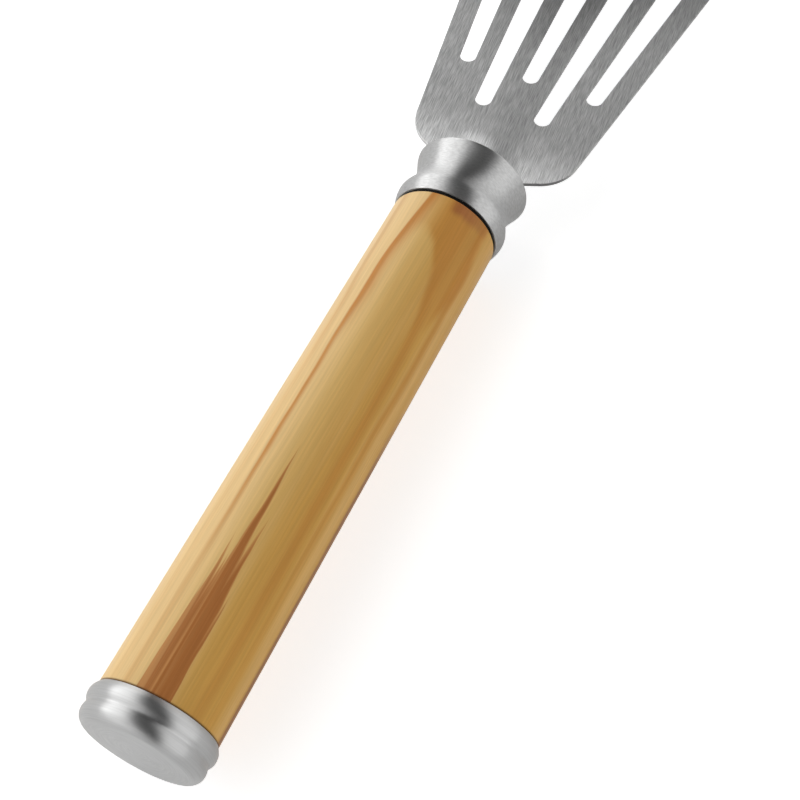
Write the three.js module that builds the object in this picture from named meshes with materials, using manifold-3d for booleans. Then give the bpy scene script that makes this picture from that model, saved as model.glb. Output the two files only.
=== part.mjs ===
// Pancake spatula: a slotted steel blade on a turned wooden handle.
//
// Sizes are in millimetres. The handle lies along Y, with the butt at the low end and the
// blade at the high end. X runs across the blade and Z points up from its upper face.
// The origin is under the middle of the tool, on the surface that it lies on.

import * as THREE from 'three';
import { mergeVertices, toCreasedNormals } from 'three/addons/utils/BufferGeometryUtils.js';
import Module from 'manifold-3d';

const wasm = await Module();
wasm.setup();

// Wooden grip
const GRIP_RADIUS = 12.5;
const GRIP_LENGTH = 126;
const GRIP_EDGE = 0.3;

// Black seal ring between the grip and the ferrule
const RING_THICKNESS = 0.8;
const RING_SINK = 0.15;

// Turned ferrule: a bead by the wood, a hollow neck and a flared rim by the blade.
// Heights and depths are measured from the surface of the grip.
const FERRULE_LENGTH = 15.4;
const FERRULE_EDGE_HEIGHT = 0.1;
const BEAD_HEIGHT = 0.88;
const BEAD_SETBACK = 3.3;
const NECK_DEPTH = 0.62;
const NECK_TO_RIM = 6.5;
const FLARE_HEIGHT = 1.25;
const FLARE_ANGLE = THREE.MathUtils.degToRad(22);
const RIM_EDGE = 0.25;
const FERRULE_WALL = 3.2;
const FERRULE_FRONT_WALL = 3;

// Turned end cap: two beads with a groove between them, and a flat butt
const CAP_LENGTH = 7.5;
const CAP_EDGE_HEIGHT = 0.1;
const CAP_BEAD_HEIGHT = 0.88;
const CAP_BEAD_SETBACK = 2;
const CAP_GROOVE_HEIGHT = 0.22;
const CAP_GROOVE_SETBACK = 3.9;
const CAP_ROUND_HEIGHT = 0.42;
const CAP_ROUND_RADIUS = 2.3;
const CAP_SPIGOT_RADIUS = 6.5;
const CAP_SPIGOT_LENGTH = 8;
const CAP_BUTT_WALL = 4;

// Tie rod through the grip, screwed into the cap and forked over the tang
const ROD_RADIUS = 3;
const ROD_CHAMFER = 0.6;
const ROD_END_GAP = 0.4;

// Blade sheet and the tang that it ends in
const SHEET_THICKNESS = 1;
const TANG_WIDTH = 8;
const TANG_LENGTH = 24;
const TANG_CORNER = 1.5;

// Pins through the fork and the tang
const PIN_COUNT = 2;
const PIN_RADIUS = 1.25;
const PIN_SETBACK = 9;
const PIN_SPACING = 9;
const PIN_SINK = 0.25;

// Blade outline, measured forward from the ferrule's front face
const BLADE_NECK_WIDTH = 18;
const BLADE_NECK_LENGTH = 3.6;
const BLADE_NECK_FILLET = 1.2;
const SHOULDER_WIDTH = 39.3;
const SHOULDER_ANGLE = THREE.MathUtils.degToRad(23.5);
const SHOULDER_RADIUS = 10.5;
const BLADE_LENGTH = 138.4;
const FRONT_WIDTH = 79.4;
const FRONT_ANGLE = THREE.MathUtils.degToRad(4);
const FRONT_CORNER_RADIUS = 10;
const BEVEL_LENGTH = 8;
const BEVEL_EDGE_THICKNESS = 0.35;

// The blade is bent up a little just in front of the ferrule
const BEND_ANGLE = THREE.MathUtils.degToRad(2.6);
const BEND_RADIUS = 18;
const BEND_SETBACK = 1.55;

// Slots: tapered, round at both ends, fanned out evenly across the blade.
// Every second slot starts further back.
const SLOT_COUNT = 5;
const SLOT_REAR_WIDTH = 4;
const SLOT_TAPER = 0.042;
const SLOT_START = 33.3;
const SLOT_STAGGER = 11.2;
const SLOT_FRONT_MARGIN = 25;
const EDGE_BAR_REAR = 5.2;
const EDGE_BAR_FRONT = 6.2;

// Clearances
const FIT_CLEARANCE = 0.3;
const PIN_CLEARANCE = 0.15;
const THREAD_CLEARANCE = 0.15;

// Facets of round forms
const TURNED_FACETS = 52;
const ROD_FACETS = 28;
const PIN_FACETS = 20;
const CURVE_STEPS = 6;
const ARC_STEPS = 10;

// Places along the handle, from the joint between the grip and the cap
const butt = -CAP_LENGTH;
const gripFront = GRIP_LENGTH;
const ferruleRear = gripFront + RING_THICKNESS;
const ferruleFront = ferruleRear + FERRULE_LENGTH;
const socketFloor = ferruleFront - FERRULE_FRONT_WALL;
const tenonFront = socketFloor - FIT_CLEARANCE;
const tangRear = ferruleFront - TANG_LENGTH;
const rodFront = socketFloor - FIT_CLEARANCE;
const capHoleFloor = butt + CAP_BUTT_WALL;
const rodRear = capHoleFloor + ROD_END_GAP;

// Radii that two pieces share
const neckRadius = GRIP_RADIUS - NECK_DEPTH;
const rimRadius = GRIP_RADIUS + FLARE_HEIGHT;
const socketRadius = neckRadius - FERRULE_WALL;
const tenonRadius = socketRadius - FIT_CLEARANCE;
const rodBore = ROD_RADIUS + FIT_CLEARANCE;
const tangReach = Math.hypot(TANG_WIDTH, SHEET_THICKNESS) / 2;
const tangBore = Math.max(tangReach, ROD_RADIUS) + FIT_CLEARANCE;
const spigotBore = CAP_SPIGOT_RADIUS + FIT_CLEARANCE;

const steel = { color: 0xb9babb, roughness: 0.34, metalness: 1 };
const brushedSteel = { color: 0xa7a8a9, roughness: 0.42, metalness: 1 };
const plainSteel = { color: 0x8e9092, roughness: 0.5, metalness: 1 };
const oliveWood = { color: 0xc0914f, roughness: 0.42, metalness: 0 };
const blackRubber = { color: 0x100f0e, roughness: 0.6, metalness: 0 };

// Closed solid from a geometry: shared corners are merged and collapsed faces dropped
function toSolid(geometry) {
  const bare = geometry.clone();
  bare.deleteAttribute('normal');
  bare.deleteAttribute('uv');
  const merged = mergeVertices(bare);
  const corners = merged.index.array;
  const triangles = [];
  for (let i = 0; i < corners.length; i += 3) {
    const [a, b, c] = corners.slice(i, i + 3);
    if (a !== b && b !== c && c !== a) triangles.push(a, b, c);
  }
  return new wasm.Manifold(new wasm.Mesh({
    numProp: 3,
    vertProperties: merged.attributes.position.array,
    triVerts: new Uint32Array(triangles),
  }));
}

function toGeometry(solid) {
  const mesh = solid.getMesh();
  const geometry = new THREE.BufferGeometry();
  geometry.setAttribute('position', new THREE.BufferAttribute(mesh.vertProperties, 3));
  geometry.setIndex(new THREE.BufferAttribute(mesh.triVerts, 1));
  return toCreasedNormals(geometry, Math.PI / 6);
}

function named(name, geometry, finish) {
  const mesh = new THREE.Mesh(geometry, new THREE.MeshStandardMaterial(finish));
  mesh.name = name;
  return mesh;
}

function turned(profile, facets = TURNED_FACETS) {
  return new THREE.LatheGeometry(profile.getPoints(CURVE_STEPS), facets);
}

// Block with its middle at a place along the handle
function block(width, length, height, middle) {
  return new THREE.BoxGeometry(width, length, height).translate(0, middle, 0);
}

// Upright round bar across the handle, for the pins and their holes
function crossBar(radius, length, place) {
  return new THREE.CylinderGeometry(radius, radius, length, PIN_FACETS)
    .rotateX(Math.PI / 2)
    .translate(0, place, 0);
}

const pinPlaces = Array.from(
  { length: PIN_COUNT },
  (_, i) => ferruleFront - PIN_SETBACK - i * PIN_SPACING,
);

function drillPins(solid) {
  const through = 4 * ROD_RADIUS + 4 * SHEET_THICKNESS;
  let drilled = solid;
  for (const place of pinPlaces) {
    const hole = crossBar(PIN_RADIUS + PIN_CLEARANCE, through, place);
    drilled = drilled.subtract(toSolid(hole));
  }
  return drilled;
}

// Turned barrel, bored through for the rod, with a front tenon for the ferrule's socket
// and a rear recess for the cap's spigot
function woodGrip() {
  const spigotFloor = CAP_SPIGOT_LENGTH + FIT_CLEARANCE;
  const tangFloor = tangRear - FIT_CLEARANCE;
  const profile = new THREE.Path();
  profile.moveTo(spigotBore, 0);
  profile.lineTo(GRIP_RADIUS - GRIP_EDGE, 0);
  profile.lineTo(GRIP_RADIUS, GRIP_EDGE);
  profile.lineTo(GRIP_RADIUS, gripFront - GRIP_EDGE);
  profile.lineTo(GRIP_RADIUS - GRIP_EDGE, gripFront);
  profile.lineTo(tenonRadius, gripFront);
  profile.lineTo(tenonRadius, tenonFront);
  profile.lineTo(tangBore, tenonFront);
  profile.lineTo(tangBore, tangFloor);
  profile.lineTo(rodBore, tangFloor);
  profile.lineTo(rodBore, spigotFloor);
  profile.lineTo(spigotBore, spigotFloor);
  profile.lineTo(spigotBore, 0);
  return named('wood_grip', turned(profile), oliveWood);
}

function sealRing() {
  const outer = GRIP_RADIUS - RING_SINK;
  const inner = tenonRadius + FIT_CLEARANCE;
  const profile = new THREE.Path();
  profile.moveTo(inner, gripFront);
  profile.lineTo(outer, gripFront);
  profile.lineTo(outer, ferruleRear);
  profile.lineTo(inner, ferruleRear);
  profile.lineTo(inner, gripFront);
  return named('seal_ring', turned(profile), blackRubber);
}

// Collar with its socket open towards the wood and a slot for the tang in its front wall
function ferrule() {
  const rearRadius = GRIP_RADIUS + FERRULE_EDGE_HEIGHT;
  const beadRadius = GRIP_RADIUS + BEAD_HEIGHT;
  const bead = ferruleRear + BEAD_SETBACK;
  const neck = ferruleFront - NECK_TO_RIM;
  const rim = ferruleFront - RIM_EDGE;
  const fall = neck - bead;
  const rise = rim - neck;

  const profile = new THREE.Path();
  profile.moveTo(0, socketFloor);
  profile.lineTo(socketRadius, socketFloor);
  profile.lineTo(socketRadius, ferruleRear);
  profile.lineTo(rearRadius, ferruleRear);
  profile.bezierCurveTo(
    rearRadius + BEAD_HEIGHT / 2, ferruleRear + BEAD_SETBACK / 3,
    beadRadius, bead - BEAD_SETBACK / 3,
    beadRadius, bead,
  );
  profile.bezierCurveTo(
    beadRadius, bead + fall / 4,
    neckRadius, neck - fall / 2,
    neckRadius, neck,
  );
  profile.bezierCurveTo(
    neckRadius, neck + rise / 3,
    rimRadius - Math.tan(FLARE_ANGLE) * rise / 3, rim - rise / 3,
    rimRadius, rim,
  );
  profile.lineTo(rimRadius - RIM_EDGE, ferruleFront);
  profile.lineTo(0, ferruleFront);

  const slot = block(
    TANG_WIDTH + 2 * FIT_CLEARANCE,
    3 * FERRULE_FRONT_WALL,
    SHEET_THICKNESS + 2 * FIT_CLEARANCE,
    ferruleFront,
  );
  const body = toSolid(turned(profile)).subtract(toSolid(slot));
  return named('ferrule', toGeometry(body), steel);
}

// Butt piece with a spigot in the grip and a blind hole for the rod's end
function endCap() {
  const edge = GRIP_RADIUS + CAP_EDGE_HEIGHT;
  const beadRadius = GRIP_RADIUS + CAP_BEAD_HEIGHT;
  const grooveRadius = GRIP_RADIUS + CAP_GROOVE_HEIGHT;
  const roundRadius = GRIP_RADIUS + CAP_ROUND_HEIGHT;
  const groove = -CAP_GROOVE_SETBACK;
  const bead = -CAP_BEAD_SETBACK;
  const roundStart = butt + CAP_ROUND_RADIUS;
  const holeRadius = ROD_RADIUS + THREAD_CLEARANCE;

  const profile = new THREE.Path();
  profile.moveTo(0, butt);
  profile.lineTo(roundRadius - CAP_ROUND_RADIUS, butt);
  profile.absarc(
    roundRadius - CAP_ROUND_RADIUS, roundStart, CAP_ROUND_RADIUS, -Math.PI / 2, 0, false,
  );
  profile.quadraticCurveTo(roundRadius, (roundStart + groove) / 2, grooveRadius, groove);
  profile.bezierCurveTo(
    beadRadius - CAP_BEAD_HEIGHT / 4, (2 * groove + bead) / 3,
    beadRadius, (groove + 2 * bead) / 3,
    beadRadius, bead,
  );
  profile.bezierCurveTo(beadRadius, bead / 2, edge + CAP_BEAD_HEIGHT / 2, bead / 3, edge, 0);
  profile.lineTo(CAP_SPIGOT_RADIUS, 0);
  profile.lineTo(CAP_SPIGOT_RADIUS, CAP_SPIGOT_LENGTH);
  profile.lineTo(holeRadius, CAP_SPIGOT_LENGTH);
  profile.lineTo(holeRadius, capHoleFloor);
  profile.lineTo(0, capHoleFloor);
  return named('end_cap', turned(profile), steel);
}

// Round bar with a chamfered rear end and a fork sawn in its front end
function tieRod() {
  const profile = new THREE.Path();
  profile.moveTo(0, rodRear);
  profile.lineTo(ROD_RADIUS - ROD_CHAMFER, rodRear);
  profile.lineTo(ROD_RADIUS, rodRear + ROD_CHAMFER);
  profile.lineTo(ROD_RADIUS, rodFront);
  profile.lineTo(0, rodFront);

  const forkFloor = tangRear - FIT_CLEARANCE;
  const forkTop = rodFront + ROD_RADIUS;
  const sawCut = block(
    4 * ROD_RADIUS,
    forkTop - forkFloor,
    SHEET_THICKNESS + 2 * FIT_CLEARANCE,
    (forkTop + forkFloor) / 2,
  );
  const bar = toSolid(turned(profile, ROD_FACETS)).subtract(toSolid(sawCut));
  return named('tie_rod', toGeometry(drillPins(bar)), plainSteel);
}

function tangPins() {
  const length = 2 * (ROD_RADIUS - PIN_SINK);
  return pinPlaces.map((place, i) =>
    named(`tang_pin_${i + 1}`, crossBar(PIN_RADIUS, length, place), plainSteel));
}

// Turn a corner of an outline into an arc that is tangent to both of its sides
function roundCorner(path, before, corner, after, radius) {
  const back = before.clone().sub(corner).normalize();
  const on = after.clone().sub(corner).normalize();
  const half = Math.acos(back.dot(on)) / 2;
  const start = corner.clone().addScaledVector(back, radius / Math.tan(half));
  const end = corner.clone().addScaledVector(on, radius / Math.tan(half));
  const middle = back.clone().add(on).normalize();
  const centre = corner.clone().addScaledVector(middle, radius / Math.sin(half));
  const from = start.clone().sub(centre).angle();
  const to = end.clone().sub(centre).angle();
  const clockwise = back.cross(on) > 0;
  path.lineTo(start.x, start.y);
  path.absarc(centre.x, centre.y, radius, from, to, clockwise);
  return end;
}

// Corners of the blade's right edge, in plan
const bladeSeat = new THREE.Vector2(BLADE_NECK_WIDTH / 2, ferruleFront);
const bladeNeck = new THREE.Vector2(BLADE_NECK_WIDTH / 2, ferruleFront + BLADE_NECK_LENGTH);
const shoulderRun = (SHOULDER_WIDTH - BLADE_NECK_WIDTH) / 2;
const shoulder = new THREE.Vector2(
  SHOULDER_WIDTH / 2, bladeNeck.y + shoulderRun * Math.tan(SHOULDER_ANGLE),
);
const frontCorner = new THREE.Vector2(FRONT_WIDTH / 2, ferruleFront + BLADE_LENGTH);
const frontAim = new THREE.Vector2(0, frontCorner.y + frontCorner.x * Math.tan(FRONT_ANGLE));

// Half the outline runs from the tang's rear end to the middle of the front edge.
// The front edge leaves its round corner at a slight angle and levels off in the middle.
const halfOutline = new THREE.Path();
const tangHalf = TANG_WIDTH / 2;
const tangCorner = new THREE.Vector2(tangHalf, tangRear);
const tangMiddle = new THREE.Vector2(0, tangRear);
const tangRoot = new THREE.Vector2(tangHalf, ferruleFront);
halfOutline.moveTo(tangMiddle.x, tangMiddle.y);
roundCorner(halfOutline, tangMiddle, tangCorner, tangRoot, TANG_CORNER);
halfOutline.lineTo(tangRoot.x, tangRoot.y);
halfOutline.lineTo(bladeSeat.x, bladeSeat.y);
roundCorner(halfOutline, bladeSeat, bladeNeck, shoulder, BLADE_NECK_FILLET);
roundCorner(halfOutline, bladeNeck, shoulder, frontCorner, SHOULDER_RADIUS);
const frontArcEnd = roundCorner(halfOutline, shoulder, frontCorner, frontAim, FRONT_CORNER_RADIUS);
const bladeFront = frontArcEnd.y + frontArcEnd.x / 2 * Math.tan(FRONT_ANGLE);
halfOutline.quadraticCurveTo(frontArcEnd.x / 2, bladeFront, 0, bladeFront);

function bladeOutline() {
  const right = halfOutline.getPoints(ARC_STEPS);
  const left = right.slice(1, -1).reverse();
  return new THREE.Shape([...right, ...left.map((p) => new THREE.Vector2(-p.x, p.y))]);
}

// Half width of the blade at a place along its straight edge
function halfWidthAt(y) {
  const along = (y - shoulder.y) / (frontCorner.y - shoulder.y);
  return THREE.MathUtils.lerp(shoulder.x, frontCorner.x, along);
}

// Centre distance of neighbouring slots at a place, worked out from the outermost slot
const outermost = (SLOT_COUNT - 1) / 2;
const slotRear = ferruleFront + SLOT_START + SLOT_REAR_WIDTH / 2;
const slotRun = bladeFront - SLOT_FRONT_MARGIN - slotRear;
const slotFrontRadius = (SLOT_REAR_WIDTH + SLOT_TAPER * slotRun) / 2;
const slotFront = slotRear + slotRun - slotFrontRadius;
const pitchRear = (halfWidthAt(slotRear) - EDGE_BAR_REAR - SLOT_REAR_WIDTH / 2) / outermost;
const pitchFront = (halfWidthAt(slotFront) - EDGE_BAR_FRONT - slotFrontRadius) / outermost;

function slotPitchAt(y) {
  const along = (y - slotRear) / (slotFront - slotRear);
  return THREE.MathUtils.lerp(pitchRear, pitchFront, along);
}

// Tapered slot: two round ends joined by their outer tangents
function slotShape(step) {
  const isSetBack = (step + outermost) % 2 === 1;
  const rear = slotRear - (isSetBack ? SLOT_STAGGER : 0);
  const rearRadius = SLOT_REAR_WIDTH / 2;
  const frontRadius = rearRadius + SLOT_TAPER * (slotFront - rear) / 2;
  const rearCentre = new THREE.Vector2(step * slotPitchAt(rear), rear);
  const frontCentre = new THREE.Vector2(step * slotPitchAt(slotFront), slotFront);
  const run = frontCentre.clone().sub(rearCentre);
  const aim = run.angle();
  const spread = Math.PI / 2 + Math.asin((frontRadius - rearRadius) / run.length());
  const shape = new THREE.Shape();
  shape.absarc(frontCentre.x, frontCentre.y, frontRadius, aim - spread, aim + spread, false);
  shape.absarc(
    rearCentre.x, rearCentre.y, rearRadius, aim + spread, aim - spread + 2 * Math.PI, false,
  );
  return shape;
}

// Upright prism of a plan shape, tall enough for the whole bent sheet
const bendPlace = ferruleFront + BEND_SETBACK;
const sheetRise = (bladeFront - bendPlace) * Math.tan(BEND_ANGLE);
function prism(shape) {
  const depth = 2 * (sheetRise + 2 * SHEET_THICKNESS);
  const geometry = new THREE.ExtrudeGeometry(shape, {
    depth, curveSegments: ARC_STEPS, bevelEnabled: false,
  });
  return toSolid(geometry.translate(0, 0, -depth / 2));
}

// The sheet seen from the side: straight in the handle, bent up, ground thin at the front
function sheetSide() {
  const half = SHEET_THICKNESS / 2;
  const setback = BEND_RADIUS * Math.tan(BEND_ANGLE / 2);
  const bendStart = bendPlace - setback;
  const bendCentre = new THREE.Vector2(bendStart, BEND_RADIUS);
  const along = new THREE.Vector2(Math.cos(BEND_ANGLE), Math.sin(BEND_ANGLE));
  const up = new THREE.Vector2(-along.y, along.x);
  const reach = (bladeFront - bendPlace) / along.x;
  const at = (distance, height) => new THREE.Vector2(bendPlace, 0)
    .addScaledVector(along, distance)
    .addScaledVector(up, height);
  const bevelStart = at(reach - BEVEL_LENGTH, -half);
  const bevelEnd = at(reach, half - BEVEL_EDGE_THICKNESS);
  const past = at(reach + BEVEL_LENGTH, half - BEVEL_EDGE_THICKNESS);
  const pastTop = at(reach + BEVEL_LENGTH, half);
  const bottom = -Math.PI / 2;

  const side = new THREE.Shape();
  side.moveTo(tangRear - SHEET_THICKNESS, -half);
  side.lineTo(bendStart, -half);
  side.absarc(
    bendCentre.x, bendCentre.y, BEND_RADIUS + half, bottom, bottom + BEND_ANGLE, false,
  );
  side.lineTo(bevelStart.x, bevelStart.y);
  side.lineTo(bevelEnd.x, bevelEnd.y);
  side.lineTo(past.x, past.y);
  side.lineTo(pastTop.x, pastTop.y);
  side.absarc(
    bendCentre.x, bendCentre.y, BEND_RADIUS - half, bottom + BEND_ANGLE, bottom, true,
  );
  side.lineTo(tangRear - SHEET_THICKNESS, half);
  return side;
}

// The side view swept across the blade, trimmed to the outline, slotted and drilled
function blade() {
  const across = FRONT_WIDTH + 2 * SHEET_THICKNESS;
  const sweep = new THREE.ExtrudeGeometry(sheetSide(), {
    depth: across, curveSegments: CURVE_STEPS, bevelEnabled: false,
  });
  const axes = new THREE.Matrix4().makeBasis(
    new THREE.Vector3(0, 1, 0), new THREE.Vector3(0, 0, 1), new THREE.Vector3(1, 0, 0),
  );
  sweep.translate(0, 0, -across / 2).applyMatrix4(axes);
  let sheet = toSolid(sweep).intersect(prism(bladeOutline()));
  for (let i = 0; i < SLOT_COUNT; i += 1) {
    sheet = sheet.subtract(prism(slotShape(i - outermost)));
  }
  return named('blade', toGeometry(drillPins(sheet)), brushedSteel);
}

const spatula = new THREE.Group();
spatula.name = 'pancake_spatula';
spatula.add(blade(), ferrule(), sealRing(), woodGrip(), endCap(), tieRod(), ...tangPins());
spatula.position.set(0, -(butt + bladeFront) / 2, rimRadius);

export default spatula;
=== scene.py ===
# %% [markdown]
# # Pancake spatula
# A slotted steel blade on a turned wooden handle, with a steel ferrule at the blade and a steel
# cap at the butt. The measured model is loaded first. It fixes where every piece sits, in
# metres, with the handle along Y and Z up. The cells below dress it: each piece is built again
# with finer curves and gets the finish that the real one has.

# %% Load the measured model
import math

import bmesh
import bpy
from mathutils import Matrix, Vector
from mathutils.geometry import interpolate_bezier


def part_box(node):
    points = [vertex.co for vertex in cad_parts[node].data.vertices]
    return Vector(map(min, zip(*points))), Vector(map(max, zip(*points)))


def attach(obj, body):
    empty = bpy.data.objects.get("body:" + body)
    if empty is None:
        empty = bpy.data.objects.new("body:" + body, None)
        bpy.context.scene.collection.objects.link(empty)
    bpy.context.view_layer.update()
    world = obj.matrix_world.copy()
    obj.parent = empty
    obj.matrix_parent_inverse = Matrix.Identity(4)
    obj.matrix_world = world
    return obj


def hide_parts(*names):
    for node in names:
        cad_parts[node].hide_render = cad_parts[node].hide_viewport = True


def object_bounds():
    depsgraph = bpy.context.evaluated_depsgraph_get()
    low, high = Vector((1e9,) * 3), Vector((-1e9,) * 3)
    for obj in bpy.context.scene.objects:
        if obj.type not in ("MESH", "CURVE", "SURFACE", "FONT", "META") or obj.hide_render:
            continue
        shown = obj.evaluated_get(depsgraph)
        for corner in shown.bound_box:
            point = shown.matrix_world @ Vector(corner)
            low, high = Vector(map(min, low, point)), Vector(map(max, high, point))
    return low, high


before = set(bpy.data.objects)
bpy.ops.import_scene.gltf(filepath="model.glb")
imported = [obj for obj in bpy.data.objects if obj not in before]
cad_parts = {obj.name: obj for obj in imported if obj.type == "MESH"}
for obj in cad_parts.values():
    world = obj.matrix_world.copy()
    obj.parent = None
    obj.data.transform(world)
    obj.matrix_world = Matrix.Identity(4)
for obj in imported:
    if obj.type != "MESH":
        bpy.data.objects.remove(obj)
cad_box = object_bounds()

scene = bpy.context.scene
MM = 0.001
print("nodes:", ", ".join(sorted(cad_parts)))

# %% [markdown]
# ## Places along the handle
# Every turned piece shares one axis, so a few places along it and a few radii are enough to
# build the whole handle. They are read from the loaded model and not typed in again, so the
# scene follows if the model changes.

# %% Measure the pieces
grip_low, grip_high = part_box("wood_grip")
ring_low, ring_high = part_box("seal_ring")
ferrule_low, ferrule_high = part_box("ferrule")
cap_low, cap_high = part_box("end_cap")
blade_low, blade_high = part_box("blade")
_, rod_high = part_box("tie_rod")

axis_height = (ferrule_low.z + ferrule_high.z) / 2
butt = cap_low.y
grip_rear = grip_low.y
grip_front = ring_low.y
ferrule_rear = ring_high.y
ferrule_front = ferrule_high.y
grip_radius = grip_high.x
print(f"grip: {(grip_front - grip_rear) / MM:.1f} mm long, radius {grip_radius / MM:.2f} mm")

# %% [markdown]
# ## Camera
# The photograph looks down on the tool from behind and to the right, from close by, so the
# handle seems to grow towards the camera. A camera is set by where it stands, the point that it
# looks at and its focal length. The handle also leans a little in the picture, which is a small
# roll about the line of sight.

# %% Camera
CAMERA_PLACE = Vector((0.07318, -0.20030, 0.26322))
CAMERA_AIM = Vector((0.01051, -0.05633, axis_height))
CAMERA_ROLL = math.radians(2.11)
FOCAL_LENGTH_MM = 63.54
SENSOR_WIDTH_MM = 36
NEAREST_SEEN = 0.01


def placed(name, data):
    """New object in the scene."""
    item = bpy.data.objects.new(name, data)
    scene.collection.objects.link(item)
    return item


lens = bpy.data.cameras.new("photo_camera")
lens.lens = FOCAL_LENGTH_MM
lens.sensor_width = SENSOR_WIDTH_MM
lens.clip_start = NEAREST_SEEN
camera = placed("photo_camera", lens)
looking = (CAMERA_AIM - CAMERA_PLACE).to_track_quat("-Z", "Y").to_matrix().to_4x4()
camera.matrix_world = (
    Matrix.Translation(CAMERA_PLACE) @ looking @ Matrix.Rotation(CAMERA_ROLL, 4, "Z")
)
scene.camera = camera
print(f"camera: {(CAMERA_AIM - CAMERA_PLACE).length:.3f} m from the handle")

# %% [markdown]
# ## Helpers for node trees
# The studio, the finishes and the slotted blade are all made with nodes. Written out, every
# setting and every link is a line of its own, and what a tree does gets lost. Four short helpers
# keep it readable: one sets or links a node's inputs, one adds a node, one does a sum, and one
# makes a soft step between two values.

# %% Node helpers
def set_inputs(node, inputs):
    """Sets a node's inputs, by name or number, to a value, a socket or a list of sockets."""
    for key, value in dict(inputs).items():
        for source in value if isinstance(value, list) else [value]:
            if isinstance(source, bpy.types.NodeSocket):
                node.id_data.links.new(source, node.inputs[key])
            else:
                node.inputs[key].default_value = source


def add_node(tree, kind, inputs=(), **settings):
    """New node with its settings made and its inputs set or linked."""
    node = tree.nodes.new(kind)
    for key, value in settings.items():
        setattr(node, key, value)
    set_inputs(node, inputs)
    return node


def calc(tree, operation, *values):
    """Result of a math node."""
    node = add_node(tree, "ShaderNodeMath", enumerate(values), operation=operation)
    return node.outputs[0]


def soft_step(tree, value, start, end, low=0.0, high=1.0):
    """Goes smoothly from low to high while value goes from start to end."""
    inputs = {"Value": value, "From Min": start, "From Max": end, "To Min": low, "To Max": high}
    node = add_node(tree, "ShaderNodeMapRange", inputs, interpolation_type="SMOOTHSTEP")
    return node.outputs["Result"]


print("node helpers ready")

# %% [markdown]
# ## Studio
# Steel shows the room around it, so the room matters as much as the steel. The reflections on
# the ferrule and the cap tell what stood there: a tall bright wall on the left, a softer one on
# the right and a dark gap overhead, all nearly in line with the handle. Lamps could be placed
# for each of these. But what a ray meets depends on one angle only, its lean to the left or
# right of straight up, so a colour ramp over that angle is the whole studio.

# %% World: light by angle
STUDIO_TURN = math.radians(12.5)
BRIGHTEST = 2.4
LIGHT_BY_LEAN = (
    (-90, 1.03), (-83, 1.03), (-71, 2.4), (-42, 1.72), (-6, 0.10),
    (23, 0.10), (49, 1.2), (90, 1.2),
)


def axes(tree, vector):
    """X, Y and Z of a vector."""
    return add_node(tree, "ShaderNodeSeparateXYZ", {"Vector": vector}).outputs


def grey(level):
    """Colour without a hue."""
    return (level, level, level, 1.0)


world = bpy.data.worlds.new("studio_walls")
scene.world = world
world.use_nodes = True
room = world.node_tree
room.nodes.clear()
rightward = (math.cos(STUDIO_TURN), math.sin(STUDIO_TURN), 0)
towards = add_node(room, "ShaderNodeTexCoord").outputs["Generated"]
to_right = add_node(room, "ShaderNodeVectorMath", {0: towards, 1: rightward},
                    operation="DOT_PRODUCT").outputs["Value"]
_, to_front, to_top = axes(room, towards)
lean = calc(room, "ARCTAN2", to_right, to_top)
along_ramp = calc(room, "ADD", calc(room, "DIVIDE", lean, math.pi), 0.5)
ramp = add_node(room, "ShaderNodeValToRGB", {"Fac": along_ramp})
stops = ramp.color_ramp
stops.interpolation = "EASE"
while len(stops.elements) < len(LIGHT_BY_LEAN):
    stops.elements.new(0.5)
for stop, (degrees, level) in zip(stops.elements, LIGHT_BY_LEAN):
    stop.position = degrees / 180 + 0.5
    stop.color = grey(level / BRIGHTEST)
print("world: light at", len(LIGHT_BY_LEAN), "angles")

# %% [markdown]
# Two soft steps finish the room. The right wall stands nearer at the butt's end and is brighter
# there, and the room behind the camera is dimmer as a whole. The camera itself sees plain white
# behind the tool. That is a job for the Light Path node and not for more light, because more
# light would bleach the wood.

# %% World: brighter and dimmer ends
NEAR_RIGHT_GAIN = 0.25
NEAR_RIGHT_SIDE = (0.3, 0.6)
NEAR_RIGHT_END = (0.1, -0.5)
BEHIND_SHARE = 0.7
BEHIND_END = (-0.1, -0.6)


def ray_kinds(tree):
    """1 for rays that the camera sees by, straight or through glass, and 1 for mirrored rays."""
    ray = add_node(tree, "ShaderNodeLightPath").outputs
    seen = calc(tree, "MAXIMUM", ray["Is Camera Ray"], ray["Is Transmission Ray"])
    return seen, ray["Is Glossy Ray"]


near_right = calc(room, "MULTIPLY", soft_step(room, to_right, *NEAR_RIGHT_SIDE),
                  soft_step(room, to_front, *NEAR_RIGHT_END))
plain_strength = soft_step(room, to_front, *BEHIND_END, BRIGHTEST, BEHIND_SHARE * BRIGHTEST)
strength = calc(room, "MULTIPLY_ADD", near_right, NEAR_RIGHT_GAIN * BRIGHTEST, plain_strength)
room_light = add_node(room, "ShaderNodeBackground",
                      {"Color": ramp.outputs[0], "Strength": strength}).outputs[0]
white = add_node(room, "ShaderNodeBackground", {"Color": grey(1.0)}).outputs[0]
seen, _ = ray_kinds(room)
backdrop = add_node(room, "ShaderNodeMixShader", {0: seen, 1: room_light, 2: white}).outputs[0]
add_node(room, "ShaderNodeOutputWorld", {"Surface": backdrop})
print("world: white for the camera, the studio for all other rays")

# %% [markdown]
# ## Floor
# The tool lies on white paper that runs into the white behind it. One large flat face stands for
# the paper. Lit by the studio alone it would come out grey. So it is a pale matt surface that
# keeps the tool's soft shadow, with a glow added that only the camera and the steel's
# reflections see. In the reflections the left half glows more, on the side of the bright wall.

# %% Floor
FLOOR_REACH = 3.0
FLOOR_COLOUR = 0.80
FLOOR_ROUGHNESS = 0.9
FLOOR_GLOW_SEEN = 0.61
FLOOR_GLOW_MIRRORED = (0.16, 0.30)
FLOOR_GLOW_EDGE = 60 * MM


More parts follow.
